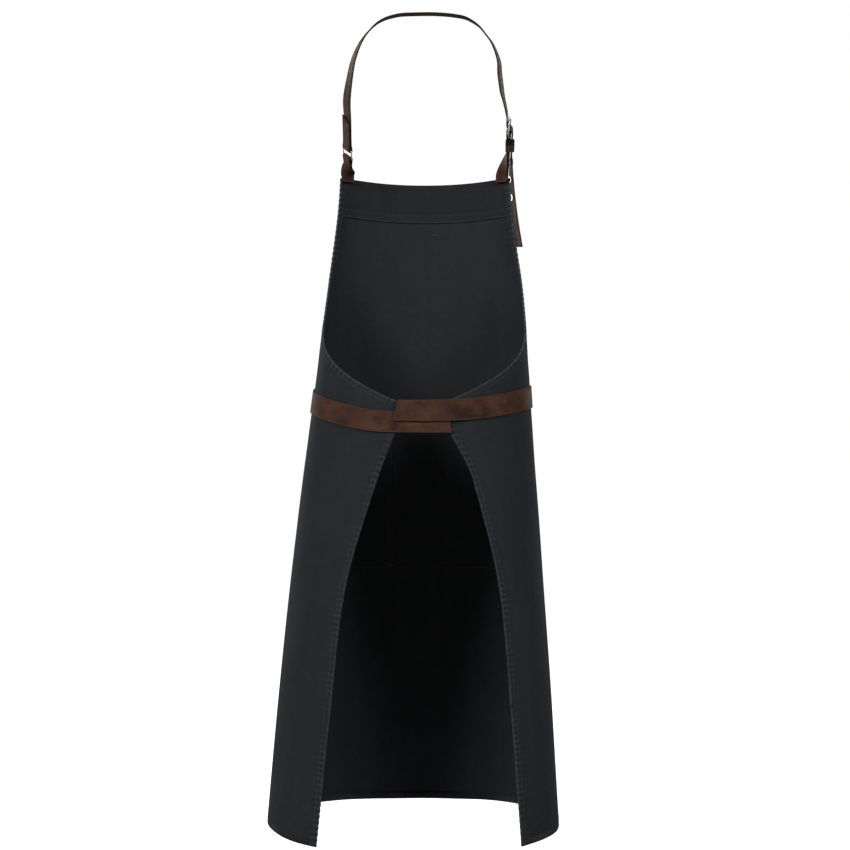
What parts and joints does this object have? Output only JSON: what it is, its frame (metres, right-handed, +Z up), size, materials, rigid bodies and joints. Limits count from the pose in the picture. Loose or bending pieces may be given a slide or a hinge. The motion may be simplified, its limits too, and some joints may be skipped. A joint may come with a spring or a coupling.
{
  "type": "bib apron",
  "caption": "Full-length cotton twill bib apron with leather neck and waist straps that fasten with buckles, hanging as worn.",
  "frame": {"origin": "underside of the neck strap at the nape, where the wearer's neck carries it", "axes": "+Z up, the bib's outside faces -Y, +X is the wearer's left"},
  "size_m": [0.4397, 0.239, 1.219],
  "materials": {
    "twill": "matt charcoal cotton twill",
    "leather": "dark brown oiled leather, edge stitched",
    "steel": "nickel-plated steel"
  },
  "bodies": {
    "apron": {"apron_panel": "twill", "bib_facing": "twill", "front_pocket": "twill", "neck_tab_left": "leather", "neck_ring": "steel", "neck_strap": "leather", "neck_eyelet_1": "steel", "neck_eyelet_2": "steel", "neck_eyelet_3": "steel", "neck_eyelet_4": "steel", "neck_tab_right": "leather", "neck_buckle_frame": "steel", "waist_strap_left": "leather", "waist_eyelet_1": "steel", "waist_eyelet_2": "steel", "waist_eyelet_3": "steel", "waist_eyelet_4": "steel", "waist_eyelet_5": "steel", "waist_strap_right": "leather", "waist_buckle_frame": "steel"},
    "neck_tongue": {"neck_buckle_tongue": "steel"},
    "neck_loop_keeper": {"neck_keeper": "leather"},
    "waist_tongue": {"waist_buckle_tongue": "steel"},
    "waist_loop_keeper": {"waist_keeper": "leather"}
  },
  "joints": [
    {"name": "neck_tongue_lift", "type": "hinge", "parent": "apron", "child": "neck_tongue", "pos_m": [-0.127, -0.087, -0.161], "axis": [-0.0523, -0.8375, 0.5439], "range_deg": [0, 28]},
    {"name": "neck_keeper_slide", "type": "slide", "parent": "apron", "child": "neck_loop_keeper", "axis": [0, 0.5446, 0.8387], "range_m": [-0.007, 0.006]},
    {"name": "waist_tongue_lift", "type": "hinge", "parent": "apron", "child": "waist_tongue", "pos_m": [-0.01615, -0.15663, -0.5595], "axis": [0.0377, -0.0289, -0.9989], "range_deg": [0, 28]},
    {"name": "waist_keeper_slide", "type": "slide", "parent": "apron", "child": "waist_loop_keeper", "axis": [0.923, -0.3818, 0.0491], "range_m": [-0.007, 0.005]}
  ]
}
